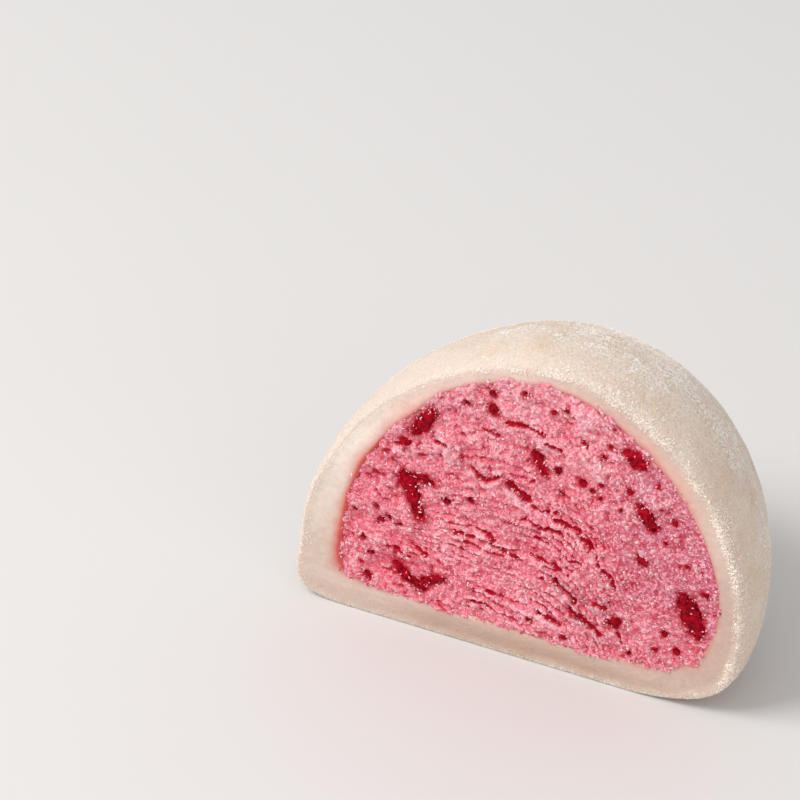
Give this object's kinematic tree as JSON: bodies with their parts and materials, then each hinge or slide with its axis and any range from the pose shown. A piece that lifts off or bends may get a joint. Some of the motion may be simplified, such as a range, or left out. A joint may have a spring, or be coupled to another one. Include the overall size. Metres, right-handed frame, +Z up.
{
  "type": "mochi rice cake half",
  "caption": "Half of a filled rice cake, cut through the middle: a soft pale dough shell on a flat base, with a pink frozen filling and dark fruit pieces showing at the cut.",
  "frame": {"origin": "under the middle of the bounding box, on the plane that the flat base rests on", "axes": "+X to the right across the cut face as it is looked at, +Y from the cut face into the round back, +Z up"},
  "size_m": [0.045, 0.0244, 0.0331],
  "materials": {
    "rice_dough": "soft cream rice dough, slightly translucent, smooth at the cut and dusted with starch outside",
    "frozen_filling": "rose pink frozen berry filling, coarse and icy, with drag ridges and cracks from the knife",
    "fruit": "wet, dark crimson berry pieces with a few bright glints"
  },
  "bodies": {
    "root": {"dough": "rice_dough", "filling": "frozen_filling", "fruit_upper_left": "fruit", "fruit_left": "fruit", "fruit_lower_left": "fruit", "fruit_centre": "fruit", "fruit_upper_right": "fruit", "fruit_right": "fruit", "fruit_lower_right": "fruit"}
  },
  "joints": []
}
